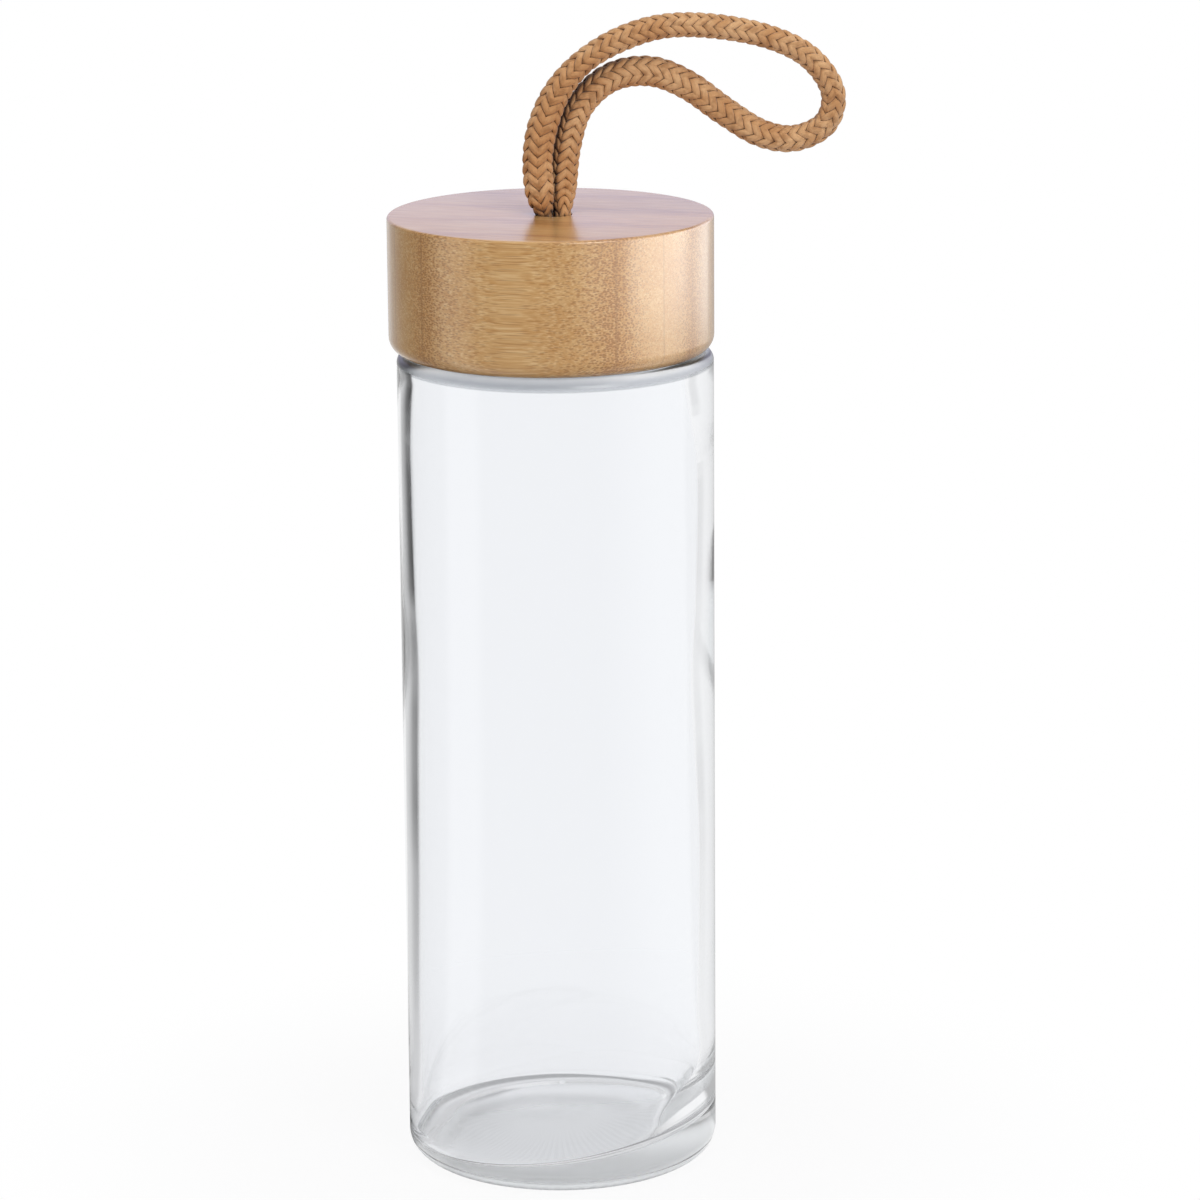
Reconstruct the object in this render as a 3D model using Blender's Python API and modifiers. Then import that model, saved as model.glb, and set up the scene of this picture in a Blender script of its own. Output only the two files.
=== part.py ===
"""Glass drink bottle with a screw-on bamboo lid and a carry loop of braided cord.

Metres, +Z up. The origin is the centre of the base, on the surface it stands on.
The thread, the lid's recess and the cord hole share the world Z axis.
"""

import math

import bmesh
import bpy
from mathutils import Matrix, Vector

# Clearances
GAP = 0.0003
OVERRUN = 0.0010
MERGE_DISTANCE = 0.0001

# Glass body
BODY_RADIUS = 0.0310
BODY_WALL = 0.0028
SHOULDER_HEIGHT = 0.1639
SHOULDER_WALL = 0.0030
SHOULDER_ROUNDING = 0.0025
INNER_SHOULDER_ROUNDING = 0.0040
HEEL_ROUNDING = 0.0045
INNER_HEEL_ROUNDING = 0.0060
FLOOR_THICKNESS = 0.0040
PUNT_DEPTH = 0.0020
BEARING_RING_WIDTH = 0.0024

# Knurled outer edge of the bearing ring
KNURL_NOTCHES = 78
KNURL_NOTCH_WIDTH = 0.0009
KNURL_NOTCH_DEPTH = 0.0003
KNURL_RING_SHARE = 0.4
KNURL_HEEL_SHARE = 0.36

# Glass neck and its thread
SHOULDER_WIDTH = 0.0065
NECK_WALL = 0.0028
NECK_HEIGHT = 0.0105
NECK_FOOT_ROUNDING = 0.0008
RIM_ROUNDING = 0.0010
THREAD_PITCH = 0.0040
THREAD_DEPTH = 0.0012
THREAD_TURNS = 1.5
THREAD_FOOT_HEIGHT = 0.0024
THREAD_CLEARANCE = 0.0007
THREAD_POINTS_PER_TURN = 36
THREAD_FADE_POINTS = 9
THREAD_END_SHARE = 0.2

# Threaded plastic liner and silicone gasket
LINER_WALL = 0.0014
LINER_CEILING = 0.0014
LINER_THREAD_LEAD_IN_SHARE = 0.25
GASKET_THICKNESS = 0.0015
GASKET_OVERHANG = 0.0012

# Bamboo lid
LID_OVERHANG = 0.0008
LID_HEIGHT = 0.0267
LID_OFF_CENTRE = 0.0007
LID_TOP_ROUNDING = 0.0006
LID_FOOT_ROUNDING = 0.0032
LID_CEILING = 0.0038
KNOT_POCKET_RADIUS = 0.0078
CORD_HOLE_RADIUS = 0.0035

# Carry cord
CORD_RADIUS = 0.0027
CORD_STEP = 0.0035

# Smoothness of round shapes
TURN_STEPS = 48
ROUNDING_STEPS = 4
HEEL_STEPS = 6
PUNT_STEPS = 4
TUBE_RESOLUTION = 2
CORD_RESOLUTION = 4

# Worked out from the sizes above
CAVITY_RADIUS = BODY_RADIUS - BODY_WALL
NECK_RADIUS = BODY_RADIUS - SHOULDER_WIDTH
NECK_BORE_RADIUS = NECK_RADIUS - NECK_WALL
FLOOR_HEIGHT = PUNT_DEPTH + FLOOR_THICKNESS
RIM_HEIGHT = SHOULDER_HEIGHT + NECK_HEIGHT
BEARING_RING_RADIUS = BODY_RADIUS - HEEL_ROUNDING
PUNT_RADIUS = BEARING_RING_RADIUS - BEARING_RING_WIDTH
LID_RADIUS = BODY_RADIUS + LID_OVERHANG
LID_FOOT_HEIGHT = SHOULDER_HEIGHT + GAP
LID_TOP_HEIGHT = LID_FOOT_HEIGHT + LID_HEIGHT
LINER_FOOT_HEIGHT = LID_FOOT_HEIGHT + GAP
LINER_INNER_RADIUS = NECK_RADIUS + THREAD_DEPTH + THREAD_CLEARANCE
LINER_RADIUS = LINER_INNER_RADIUS + LINER_WALL
GASKET_HEIGHT = RIM_HEIGHT + GAP
LINER_CEILING_HEIGHT = GASKET_HEIGHT + GASKET_THICKNESS + GAP
LINER_TOP_HEIGHT = LINER_CEILING_HEIGHT + LINER_CEILING
RECESS_HEIGHT = LINER_TOP_HEIGHT + GAP
KNOT_POCKET_TOP = LID_TOP_HEIGHT - LID_CEILING
KNOT_HEIGHT = KNOT_POCKET_TOP - RECESS_HEIGHT - 2 * GAP
LEG_RADIUS = (CORD_HOLE_RADIUS - GAP - GAP / 2) / 2
LEG_SPREAD = LEG_RADIUS + GAP / 2

# The cord's route from the foot of the front leg, over the top, round the tip on the right and back
# down the rear leg. Each point is x, y, height over the lid's top, and share of the cord's radius.
LEG_SHARE = LEG_RADIUS / CORD_RADIUS
LEG_FOOT_HEIGHT = -LID_CEILING
CORD_ROUTE = [
    (-LEG_SPREAD, 0.0, LEG_FOOT_HEIGHT, LEG_SHARE),
    (-LEG_SPREAD, 0.0, -0.0004, LEG_SHARE),
    (-0.0027, -0.0015, 0.0045, 1.0),
    (-0.0030, -0.0013, 0.0113, 1.0),
    (-0.0019, -0.0011, 0.0175, 1.0),
    (0.0010, -0.0010, 0.0241, 1.0),
    (0.0062, -0.0009, 0.0299, 1.0),
    (0.0135, -0.0008, 0.0341, 1.0),
    (0.0218, -0.0006, 0.0364, 1.0),
    (0.0316, -0.0004, 0.0362, 1.0),
    (0.0419, -0.0002, 0.0340, 1.0),
    (0.0496, 0.0001, 0.0300, 1.0),
    (0.0541, 0.0004, 0.0234, 1.0),
    (0.0528, 0.0007, 0.0172, 1.0),
    (0.0469, 0.0010, 0.0142, 1.0),
    (0.0403, 0.0012, 0.0152, 1.0),
    (0.0334, 0.0014, 0.0194, 1.0),
    (0.0260, 0.0015, 0.0247, 1.0),
    (0.0188, 0.0016, 0.0274, 1.0),
    (0.0112, 0.0017, 0.0262, 1.0),
    (0.0053, 0.0018, 0.0208, 1.0),
    (0.0027, 0.0018, 0.0130, 1.0),
    (0.0017, 0.0020, 0.0046, 1.0),
    (LEG_SPREAD, 0.0, -0.0004, LEG_SHARE),
    (LEG_SPREAD, 0.0, LEG_FOOT_HEIGHT, LEG_SHARE),
]


def clear_scene():
    """Remove the objects that the file opens with."""
    for item in list(bpy.data.objects):
        bpy.data.objects.remove(item)


def new_collection(name):
    """A collection linked to the scene."""
    collection = bpy.data.collections.new(name)
    bpy.context.scene.collection.children.link(collection)
    return collection


def finish(item, colour, roughness, transmission=0.0):
    """Give an object its own material."""
    material = bpy.data.materials.new(item.name)
    material.use_nodes = True
    shader = material.node_tree.nodes["Principled BSDF"]
    shader.inputs["Base Color"].default_value = (*colour, 1.0)
    shader.inputs["Roughness"].default_value = roughness
    shader.inputs["Metallic"].default_value = 0.0
    shader.inputs["Transmission Weight"].default_value = transmission
    item.data.materials.append(material)


def place(item, collection, height=0.0, parent=None):
    """Link an object and set it on the thread's axis, at a height over its parent's."""
    collection.objects.link(item)
    item.location.z = height
    item.parent = parent
    return item


def arc(centre, radius, start, end, steps=ROUNDING_STEPS):
    """Points of (radius, height) along an arc, its angles in degrees from the outward direction."""
    angles = [math.radians(start + (end - start) * step / steps) for step in range(steps + 1)]
    return [(centre[0] + radius * math.cos(a), centre[1] + radius * math.sin(a)) for a in angles]


def turned(name, outline, closed):
    """A solid turned about Z from an outline, closed on itself or ending on the axis twice."""
    edges = [(index, index + 1) for index in range(len(outline) - 1)]
    if closed:
        edges.append((len(outline) - 1, 0))
    mesh = bpy.data.meshes.new(name)
    mesh.from_pydata([(radius, 0.0, height) for radius, height in outline], edges, [])
    item = bpy.data.objects.new(name, mesh)
    screw = item.modifiers.new("Turn", "SCREW")
    screw.steps = TURN_STEPS
    screw.render_steps = TURN_STEPS
    screw.use_merge_vertices = True
    screw.merge_threshold = MERGE_DISTANCE
    return item


def cylinder(name, radius, foot, top):
    """A cylinder about Z between two heights."""
    shape = bmesh.new()
    bmesh.ops.create_cone(
        shape,
        cap_ends=True,
        segments=TURN_STEPS,
        radius1=radius,
        radius2=radius,
        depth=top - foot,
        matrix=Matrix.Translation((0.0, 0.0, (foot + top) / 2)),
    )
    mesh = bpy.data.meshes.new(name)
    shape.to_mesh(mesh)
    shape.free()
    return bpy.data.objects.new(name, mesh)


def combine(item, tool, operation):
    """Cut a tool out of an object, or join it on, and mark the tool as a cutter."""
    boolean = item.modifiers.new(tool.name, "BOOLEAN")
    boolean.operation = operation
    boolean.solver = "EXACT"
    boolean.object = tool
    tool.hide_render = True
    tool.display_type = "WIRE"


def tube_curve(name, points, depth, resolution):
    """A round tube with filled caps along (x, y, z, radius share) points."""
    curve = bpy.data.curves.new(name, "CURVE")
    curve.dimensions = "3D"
    curve.bevel_depth = depth
    curve.bevel_resolution = resolution
    curve.use_fill_caps = True
    spline = curve.splines.new("POLY")
    spline.points.add(len(points) - 1)
    for point, (x, y, z, share) in zip(spline.points, points):
        point.co = (x, y, z, 1.0)
        point.radius = share
    return bpy.data.objects.new(name, curve)


def as_closed_mesh(item, collection):
    """Turn a tube curve into a mesh with its caps welded."""
    collection.objects.link(item)
    evaluated = item.evaluated_get(bpy.context.evaluated_depsgraph_get())
    mesh = bpy.data.meshes.new_from_object(evaluated)
    shape = bmesh.new()
    shape.from_mesh(mesh)
    bmesh.ops.remove_doubles(shape, verts=shape.verts, dist=MERGE_DISTANCE)
    bmesh.ops.recalc_face_normals(shape, faces=shape.faces)
    shape.to_mesh(mesh)
    shape.free()
    solid = bpy.data.objects.new(item.name, mesh)
    solid.matrix_world = item.matrix_world
    bpy.data.objects.remove(item)
    return solid


def thread_ridge(name, radius, foot, start_turn, collection):
    """A rounded right-hand thread ridge centred on a wall, fading out at both ends."""
    last = round(THREAD_TURNS * THREAD_POINTS_PER_TURN)
    points = []
    for index in range(last + 1):
        turn = index / THREAD_POINTS_PER_TURN
        angle = math.tau * (start_turn + turn)
        fade = min(index, last - index) / THREAD_FADE_POINTS
        share = min(1.0, THREAD_END_SHARE + fade)
        height = foot + THREAD_PITCH * turn
        points.append((radius * math.cos(angle), radius * math.sin(angle), height, share))
    return as_closed_mesh(tube_curve(name, points, THREAD_DEPTH, TUBE_RESOLUTION), collection)


def knurl_cutter():
    """A ring of short radial boxes that notch the outer edge of the bearing ring."""
    inner = BEARING_RING_RADIUS - KNURL_RING_SHARE * BEARING_RING_WIDTH
    outer = BEARING_RING_RADIUS + KNURL_HEEL_SHARE * HEEL_ROUNDING
    size = Vector((outer - inner, KNURL_NOTCH_WIDTH, KNURL_NOTCH_DEPTH + OVERRUN))
    middle = Vector(((inner + outer) / 2, 0.0, (KNURL_NOTCH_DEPTH - OVERRUN) / 2))
    shape = bmesh.new()
    for notch in range(KNURL_NOTCHES):
        turn = Matrix.Rotation(math.tau * notch / KNURL_NOTCHES, 4, "Z")
        box = Matrix.LocRotScale(middle, None, size)
        bmesh.ops.create_cube(shape, size=1.0, matrix=turn @ box)
    mesh = bpy.data.meshes.new("knurl_cutter")
    shape.to_mesh(mesh)
    shape.free()
    return bpy.data.objects.new("knurl_cutter", mesh)


def cavity_outline():
    """The inside of the glass, from the centre of the floor up to the neck's bore."""
    floor = arc(
        (CAVITY_RADIUS - INNER_HEEL_ROUNDING, FLOOR_HEIGHT + INNER_HEEL_ROUNDING),
        INNER_HEEL_ROUNDING,
        -90,
        0,
        HEEL_STEPS,
    )
    ceiling = SHOULDER_HEIGHT - SHOULDER_WALL
    shoulder = arc(
        (CAVITY_RADIUS - INNER_SHOULDER_ROUNDING, ceiling - INNER_SHOULDER_ROUNDING),
        INNER_SHOULDER_ROUNDING,
        0,
        90,
    )
    bore_foot = arc(
        (NECK_BORE_RADIUS + NECK_FOOT_ROUNDING, ceiling + NECK_FOOT_ROUNDING),
        NECK_FOOT_ROUNDING,
        270,
        180,
    )
    return [(0.0, FLOOR_HEIGHT), *floor, *shoulder, *bore_foot]


def shell_outline():
    """The rim and the outside of the glass, down to the edge of the punt."""
    inner_rim = arc(
        (NECK_BORE_RADIUS + RIM_ROUNDING, RIM_HEIGHT - RIM_ROUNDING), RIM_ROUNDING, 180, 90
    )
    outer_rim = arc((NECK_RADIUS - RIM_ROUNDING, RIM_HEIGHT - RIM_ROUNDING), RIM_ROUNDING, 90, 0)
    neck_foot = arc(
        (NECK_RADIUS + NECK_FOOT_ROUNDING, SHOULDER_HEIGHT + NECK_FOOT_ROUNDING),
        NECK_FOOT_ROUNDING,
        180,
        270,
    )
    shoulder = arc(
        (BODY_RADIUS - SHOULDER_ROUNDING, SHOULDER_HEIGHT - SHOULDER_ROUNDING),
        SHOULDER_ROUNDING,
        90,
        0,
    )
    heel = arc((BEARING_RING_RADIUS, HEEL_ROUNDING), HEEL_ROUNDING, 0, -90, HEEL_STEPS)
    return [*inner_rim, *outer_rim, *neck_foot, *shoulder, *heel]


def punt_outline():
    """The shallow dome under the base, from its edge to its centre."""
    dome_radius = (PUNT_RADIUS**2 + PUNT_DEPTH**2) / (2 * PUNT_DEPTH)
    edge_angle = math.degrees(math.asin(PUNT_RADIUS / dome_radius))
    dome = arc((0.0, PUNT_DEPTH - dome_radius), dome_radius, 90 - edge_angle, 90, PUNT_STEPS)
    return [*dome[:-1], (0.0, PUNT_DEPTH)]


def glass_bottle(parts, cutters):
    """Body, shoulder, threaded neck and knurled base in one piece of glass."""
    outline = [*cavity_outline(), *shell_outline(), *punt_outline()]
    bottle = place(turned("glass_bottle", outline, closed=False), parts)
    foot = SHOULDER_HEIGHT + THREAD_FOOT_HEIGHT
    ridge = thread_ridge("neck_thread", NECK_RADIUS, foot, 0.0, cutters)
    combine(bottle, place(ridge, cutters), "UNION")
    combine(bottle, place(knurl_cutter(), cutters), "DIFFERENCE")
    finish(bottle, (0.90, 0.94, 0.95), 0.02, transmission=1.0)
    return bottle


def bamboo_lid(parts, cutters, axis):
    """A turned block of glued bamboo strips, bored for the liner, the knot and the cord."""
    top = arc(
        (LID_RADIUS - LID_TOP_ROUNDING, LID_HEIGHT - LID_TOP_ROUNDING), LID_TOP_ROUNDING, 90, 0
    )
    foot = arc((LID_RADIUS - LID_FOOT_ROUNDING, LID_FOOT_ROUNDING), LID_FOOT_ROUNDING, 0, -90)
    outline = [(0.0, LID_HEIGHT), *top, *foot, (0.0, 0.0)]
    block = turned("bamboo_lid", outline, closed=False)
    lid = place(block, parts, 0.0, axis)
    lid.location.x = -LID_OFF_CENTRE
    recess = cylinder("recess_cutter", LINER_RADIUS + GAP, -OVERRUN, RECESS_HEIGHT - LID_FOOT_HEIGHT)
    pocket = cylinder("pocket_cutter", KNOT_POCKET_RADIUS, 0.0, KNOT_POCKET_TOP - LID_FOOT_HEIGHT)
    hole = cylinder("cord_hole_cutter", CORD_HOLE_RADIUS, 0.0, LID_HEIGHT + OVERRUN)
    for cutter in (recess, pocket, hole):
        combine(lid, place(cutter, cutters, 0.0, axis), "DIFFERENCE")
    finish(lid, (0.62, 0.40, 0.20), 0.25)
    return lid


def threaded_liner(parts, cutters, axis):
    """The plastic inner cap that is pressed into the bamboo and carries the lid's thread."""
    skirt = LINER_CEILING_HEIGHT - LINER_FOOT_HEIGHT
    outline = [
        (0.0, skirt + LINER_CEILING),
        (LINER_RADIUS, skirt + LINER_CEILING),
        (LINER_RADIUS, 0.0),
        (LINER_INNER_RADIUS, 0.0),
        (LINER_INNER_RADIUS, skirt),
        (0.0, skirt),
    ]
    liner = place(turned("threaded_liner", outline, closed=False), parts, GAP, axis)
    half_pitch_down = SHOULDER_HEIGHT + THREAD_FOOT_HEIGHT - LINER_FOOT_HEIGHT - THREAD_PITCH / 2
    foot = half_pitch_down + THREAD_PITCH * LINER_THREAD_LEAD_IN_SHARE
    ridge = thread_ridge(
        "liner_thread", LINER_INNER_RADIUS, foot, LINER_THREAD_LEAD_IN_SHARE, cutters
    )
    combine(liner, place(ridge, cutters, GAP, axis), "UNION")
    finish(liner, (0.86, 0.87, 0.86), 0.45)
    return liner


def silicone_gasket(parts, axis):
    """The flat sealing ring between the glass rim and the liner's ceiling."""
    inner = NECK_BORE_RADIUS - GAP
    outer = NECK_RADIUS + GASKET_OVERHANG
    outline = [
        (inner, GASKET_THICKNESS),
        (outer, GASKET_THICKNESS),
        (outer, 0.0),
        (inner, 0.0),
    ]
    ring = turned("silicone_gasket", outline, closed=True)
    gasket = place(ring, parts, GASKET_HEIGHT - LID_FOOT_HEIGHT, axis)
    finish(gasket, (0.80, 0.81, 0.80), 0.55)
    return gasket


def cord_knot(parts, axis):
    """The cord's knotted ends, two round wraps in the pocket above the liner."""
    wrap_radius = KNOT_HEIGHT / 4
    wrap_middle = KNOT_POCKET_RADIUS - 2 * GAP - wrap_radius
    waist = 60
    outline = [
        (0.0, 4 * wrap_radius),
        *arc((wrap_middle, 3 * wrap_radius), wrap_radius, 90, -waist),
        *arc((wrap_middle, wrap_radius), wrap_radius, waist, -90),
        (0.0, 0.0),
    ]
    lump = turned("cord_knot", outline, closed=False)
    knot = place(lump, parts, RECESS_HEIGHT + GAP - LID_FOOT_HEIGHT, axis)
    finish(knot, (0.55, 0.31, 0.14), 0.85)
    return knot


def smooth_route(route, step):
    """Points a step apart on a smooth curve through a route's own points."""
    ends = [2 * Vector(route[0]) - Vector(route[1]), 2 * Vector(route[-1]) - Vector(route[-2])]
    points = [ends[0], *[Vector(point) for point in route], ends[1]]
    smooth = []
    for before, start, end, after in zip(points, points[1:], points[2:], points[3:]):
        count = max(1, round((end - start).to_3d().length / step))
        leaving = (end - before) / 2
        arriving = (after - start) / 2
        for index in range(count):
            t = index / count
            smooth.append(
                (2 * t**3 - 3 * t**2 + 1) * start
                + (t**3 - 2 * t**2 + t) * leaving
                + (3 * t**2 - 2 * t**3) * end
                + (t**3 - t**2) * arriving
            )
    return [*smooth, points[-2]]


def carry_cord(parts, axis):
    """The braided loop, from the knot up through the hole and back."""
    mouth = bpy.data.objects.new("cord_mouth", None)
    place(mouth, parts, LID_HEIGHT, axis)
    points = [tuple(point) for point in smooth_route(CORD_ROUTE, CORD_STEP)]
    cord = place(tube_curve("carry_cord", points, CORD_RADIUS, CORD_RESOLUTION), parts, 0.0, mouth)
    finish(cord, (0.55, 0.31, 0.14), 0.85)
    return cord


def main():
    """Build the bottle."""
    clear_scene()
    parts = new_collection("drink_bottle")
    cutters = new_collection("cutters")
    axis = bpy.data.objects.new("lid_axis", None)
    place(axis, parts, LID_FOOT_HEIGHT)
    glass_bottle(parts, cutters)
    bamboo_lid(parts, cutters, axis)
    threaded_liner(parts, cutters, axis)
    silicone_gasket(parts, axis)
    cord_knot(parts, axis)
    carry_cord(parts, axis)


main()
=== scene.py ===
"""Looks of the drink bottle: clear glass, a laminated bamboo lid and a carry loop of braided cord.

Metres, +Z up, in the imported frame's own place.
"""

import functools
import math

import bmesh
import bpy
import numpy as np
from mathutils import Matrix, Vector

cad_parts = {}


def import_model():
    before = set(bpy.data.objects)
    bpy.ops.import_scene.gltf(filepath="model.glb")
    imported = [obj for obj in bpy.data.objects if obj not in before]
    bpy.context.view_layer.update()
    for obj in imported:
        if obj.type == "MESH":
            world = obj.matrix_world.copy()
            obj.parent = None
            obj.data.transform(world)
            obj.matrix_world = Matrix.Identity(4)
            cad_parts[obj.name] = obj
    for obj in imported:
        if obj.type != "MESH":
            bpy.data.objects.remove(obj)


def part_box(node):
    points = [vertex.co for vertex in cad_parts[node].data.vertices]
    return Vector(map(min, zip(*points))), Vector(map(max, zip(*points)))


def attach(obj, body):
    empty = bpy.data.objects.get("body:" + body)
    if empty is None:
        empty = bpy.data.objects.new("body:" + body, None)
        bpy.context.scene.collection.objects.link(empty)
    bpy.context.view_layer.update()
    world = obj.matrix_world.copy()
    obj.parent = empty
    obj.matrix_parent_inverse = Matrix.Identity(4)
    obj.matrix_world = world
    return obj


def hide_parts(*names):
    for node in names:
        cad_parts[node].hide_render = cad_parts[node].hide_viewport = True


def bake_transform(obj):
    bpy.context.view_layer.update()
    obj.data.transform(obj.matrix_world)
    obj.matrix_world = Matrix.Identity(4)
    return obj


# Camera, fitted to the photograph's outlines
CAMERA_DISTANCE = 0.9653
CAMERA_HEIGHT = 0.3532
CAMERA_YAW = 0.497
CAMERA_PITCH = 13.942
CAMERA_ROLL = -0.451
CAMERA_LENS = 150.83
SENSOR_WIDTH = 36.0

# Cord: radius, and its route over the lid's top, with the shares of the radius across and in depth
CORD_RADIUS = 0.0027
LEG_SPREAD = 0.001675
LEG_SHARE = 0.565
LEG_DEPTH_SHARE = 0.80
LEG_FOOT = -0.0038
CORD_ROUTE = [
    (-LEG_SPREAD, 0.0, LEG_FOOT, LEG_SHARE, LEG_DEPTH_SHARE),
    (-LEG_SPREAD, 0.0, -0.0004, LEG_SHARE, LEG_DEPTH_SHARE),
    (-0.0027, -0.0015, 0.0045, 1.06, 1.00),
    (-0.0030, -0.0013, 0.0113, 1.11, 1.00),
    (-0.0019, -0.0011, 0.0175, 1.12, 1.00),
    (0.0010, -0.0010, 0.0241, 1.01, 1.00),
    (0.0062, -0.0009, 0.0299, 0.88, 1.00),
    (0.0135, -0.0008, 0.0341, 0.91, 1.00),
    (0.0218, -0.0006, 0.0364, 0.88, 1.00),
    (0.0316, -0.0004, 0.0362, 0.89, 1.00),
    (0.0419, -0.0002, 0.0340, 0.86, 1.00),
    (0.0496, 0.0001, 0.0300, 0.87, 1.00),
    (0.0541, 0.0004, 0.0234, 0.87, 1.00),
    (0.0528, 0.0007, 0.0172, 0.87, 1.00),
    (0.0469, 0.0010, 0.0142, 0.93, 1.00),
    (0.0403, 0.0012, 0.0152, 0.99, 1.00),
    (0.0334, 0.0014, 0.0194, 1.02, 1.00),
    (0.0260, 0.0015, 0.0247, 1.06, 1.00),
    (0.0188, 0.0016, 0.0274, 1.09, 1.00),
    (0.0112, 0.0017, 0.0262, 1.05, 1.00),
    (0.0053, 0.0018, 0.0208, 1.02, 1.00),
    (0.0027, 0.0018, 0.0130, 1.02, 1.00),
    (0.0017, 0.0020, 0.0046, 1.02, 1.00),
    (LEG_SPREAD, 0.0, -0.0004, LEG_SHARE, LEG_DEPTH_SHARE),
    (LEG_SPREAD, 0.0, LEG_FOOT, LEG_SHARE, LEG_DEPTH_SHARE),
]
CORD_STEP = 0.0003

# Braid: eight strands each way, two over and two under
STRANDS_EACH_WAY = 8
BRAID_LAY = 0.0165
STRAND_SIDES = 8
STRAND_THICKNESS_SHARE = 0.30
STRAND_WIDTH_SHARE = 0.98
WEAVE_SHARE = 0.10
WEAVE_SQUARENESS = 1.8
CORE_SHARE = 0.66
BRAID_SHARE = 1.03

# Knot: wraps of the same cord
KNOT_WRAPS = 2
KNOT_CORD_RADIUS = 0.0019
KNOT_STEP = 0.0006

# Glass, with the shares of the cavity's radius at which its floor has rings
BODY_WALL = 0.0028
SHOULDER_WALL = 0.0015
SHOULDER_ROUNDING = 0.0019
INNER_SHOULDER_ROUNDING = 0.0009
HEEL_ROUNDING = 0.0045
INNER_HEEL_ROUNDING = 0.0025
FLOOR_THICKNESS = 0.0040
FLOOR_RING_SHARES = (0.12, 0.25, 0.38, 0.5, 0.6, 0.7)
PUNT_DEPTH = 0.0020
BEARING_RING_WIDTH = 0.0024
NECK_WALL = 0.0028
SHOULDER_WIDTH = 0.0065
NECK_HEIGHT = 0.0105
NECK_FOOT_ROUNDING = 0.0008
RIM_ROUNDING = 0.0010
THREAD_PITCH = 0.0040
THREAD_DEPTH = 0.0012
THREAD_HALF_WIDTH = 0.0013
THREAD_TURNS = 1.5
THREAD_FOOT_HEIGHT = 0.0024
THREAD_FADE_TURNS = 0.2
KNURL_NOTCHES = 78
KNURL_DEPTH = 0.00010
KNURL_HEIGHT = 0.0012
KNURL_HALF_HEIGHT = 0.0010

# Lid, liner and gasket
GAP = 0.0003
LID_OFF_CENTRE = 0.0007
LID_TOP_ROUNDING = 0.0006
LID_FOOT_ROUNDING = 0.0032
LID_CEILING = 0.0038
KNOT_POCKET_RADIUS = 0.0078
CORD_HOLE_RADIUS = 0.0035
CORD_HOLE_ROUNDING = 0.0003
LINER_WALL = 0.0014
LINER_CEILING = 0.0014
LINER_THREAD_LEAD_IN_TURNS = 0.25
SMALL_ROUNDING = 0.0002
GASKET_ROUNDING = 0.0004

# Smoothness, and how often light may bend or bounce in the glass
LIGHT_BOUNCES = 24
TURN_STEPS = 256
ARC_STEPS = 8
GASKET_ARC_STEPS = 4
SHOULDER_ARC_STEPS = 14
INNER_SHOULDER_ARC_STEPS = 12
HEEL_ARC_STEPS = 20
INNER_HEEL_ARC_STEPS = 16
PUNT_ARC_STEPS = 12
THREAD_ROW_HEIGHT = 0.00025
BODY_ROW_HEIGHT = 0.006
CAVITY_ROW_HEIGHT = 0.002
SHARP_ANGLE = 35.0

# Bamboo: the strips' width, how far in front of the axis one seam lies, and how many degrees the
# fibres are turned from straight across the photograph
STRIP_WIDTH = 0.0079
STRIP_SEAM_PLACE = 0.0256
FIBRE_TURN = -14.0


def linear(red, green, blue):
    """A colour in 0 to 255 screen values as linear light."""
    shares = [value / 255 for value in (red, green, blue)]
    return tuple(s / 12.92 if s <= 0.04045 else ((s + 0.055) / 1.055) ** 2.4 for s in shares)


def linked(name, data):
    """A new object in the scene."""
    made = bpy.data.objects.new(name, data)
    bpy.context.scene.collection.objects.link(made)
    return made


# Camera, floor and light


def add_camera():
    """The camera at the photograph's viewing angle."""
    data = bpy.data.cameras.new("camera")
    data.lens = CAMERA_LENS
    data.sensor_width = SENSOR_WIDTH
    camera = linked("camera", data)
    turn = Matrix.Rotation(-math.radians(CAMERA_YAW), 4, "Z")
    tilt = Matrix.Rotation(math.pi / 2 - math.radians(CAMERA_PITCH), 4, "X")
    roll = Matrix.Rotation(math.radians(CAMERA_ROLL), 4, "Z")
    place = Matrix.Translation((0.0, -CAMERA_DISTANCE, CAMERA_HEIGHT))
    camera.matrix_world = place @ turn @ tilt @ roll
    bpy.context.scene.camera = camera


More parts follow.
